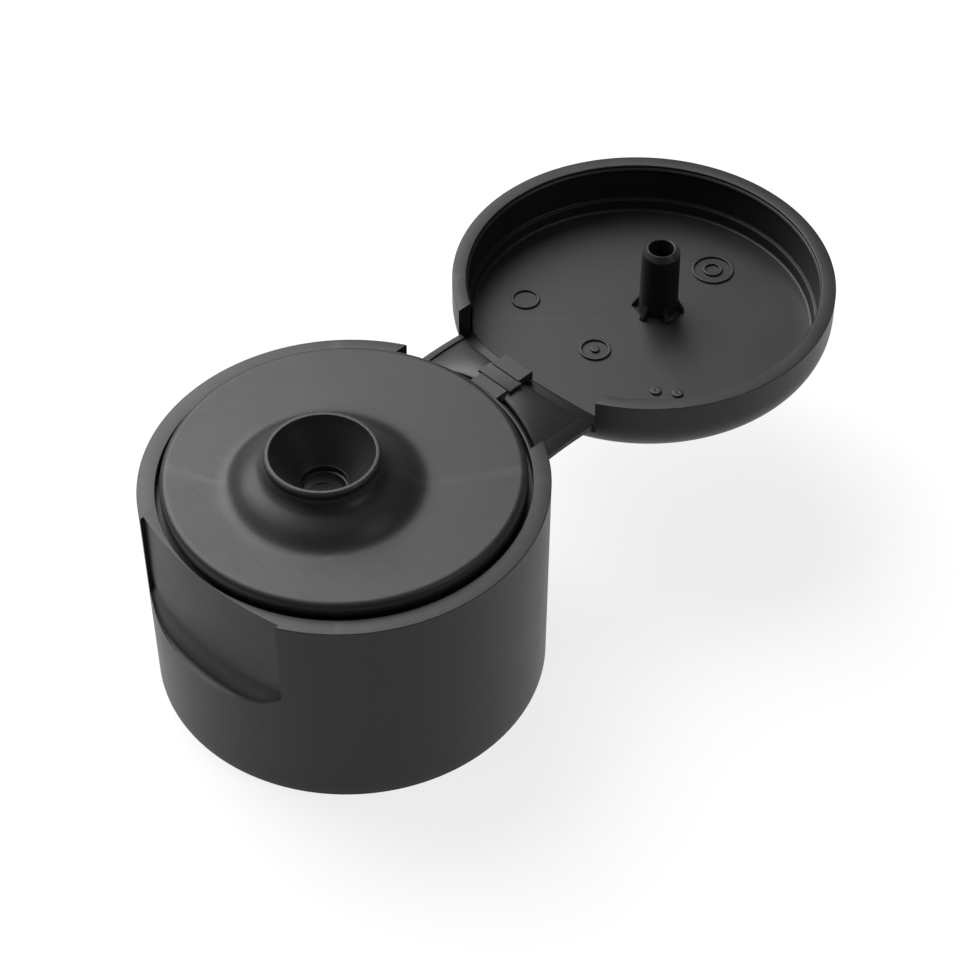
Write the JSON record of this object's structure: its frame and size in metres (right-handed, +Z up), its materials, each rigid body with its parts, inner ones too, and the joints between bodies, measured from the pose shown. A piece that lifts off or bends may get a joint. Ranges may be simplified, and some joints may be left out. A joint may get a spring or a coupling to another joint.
{
  "type": "flip-top dispensing closure",
  "caption": "Round screw-on flip-top closure with a raised pouring spout and a hinged lid that carries a plug pin, shown with the lid open.",
  "frame": {"origin": "on the neck axis, in the plane of the base's lower edge", "axes": "+Z up along the neck axis towards the spout, +Y from the base towards the hinge and the open lid, +X along the hinge axis"},
  "size_m": [0.0332, 0.0685, 0.0244],
  "materials": {
    "satin_black_pp": "fine satin moulded polypropylene, black",
    "inner_black_pp": "plain moulded polypropylene, black",
    "hinge_black_pp": "smooth flexed polypropylene, black"
  },
  "bodies": {
    "base": {"outer_shell": "satin_black_pp", "rim_ring": "satin_black_pp", "thumb_recess": "satin_black_pp", "shell_ribs": "inner_black_pp", "sleeve": "inner_black_pp", "neck_thread": "inner_black_pp", "deck_skirt": "inner_black_pp", "deck": "satin_black_pp", "deck_bead": "satin_black_pp", "bore_seal": "inner_black_pp", "spout": "satin_black_pp", "orifice": "satin_black_pp", "base_pad": "hinge_black_pp", "strap_film": "hinge_black_pp"},
    "right_hinge_wing": {"right_wing": "hinge_black_pp", "right_wing_bar": "hinge_black_pp"},
    "left_hinge_wing": {"left_wing": "hinge_black_pp", "left_wing_bar": "hinge_black_pp"},
    "lid": {"lid_wall": "satin_black_pp", "lid_ledge": "satin_black_pp", "lid_top": "satin_black_pp", "lid_bead": "satin_black_pp", "hinge_panel": "satin_black_pp", "lid_pad": "hinge_black_pp", "plug_pin": "satin_black_pp", "pin_gussets": "satin_black_pp", "mould_marks": "satin_black_pp"}
  },
  "joints": [
    {"name": "lid_hinge", "type": "hinge", "parent": "base", "child": "lid", "pos_m": [0, 0.01763, 0.0198], "axis": [1, 0, 0], "range_deg": [0, 180], "deforming": ["strap_film"]},
    {"name": "right_wing_hinge", "type": "hinge", "parent": "base", "child": "right_hinge_wing", "pos_m": [0.00235, 0.01648, 0.01865], "axis": [0.912, -0.29, -0.29], "range_deg": [0, 95.27]},
    {"name": "left_wing_hinge", "type": "hinge", "parent": "base", "child": "left_hinge_wing", "pos_m": [-0.00235, 0.01648, 0.01865], "axis": [0.912, 0.29, 0.29], "range_deg": [0, 95.27]}
  ],
  "couplings": [
    {"joint": "right_wing_hinge", "follows": "lid_hinge", "ratio": 0.52927},
    {"joint": "left_wing_hinge", "follows": "lid_hinge", "ratio": 0.52927}
  ]
}
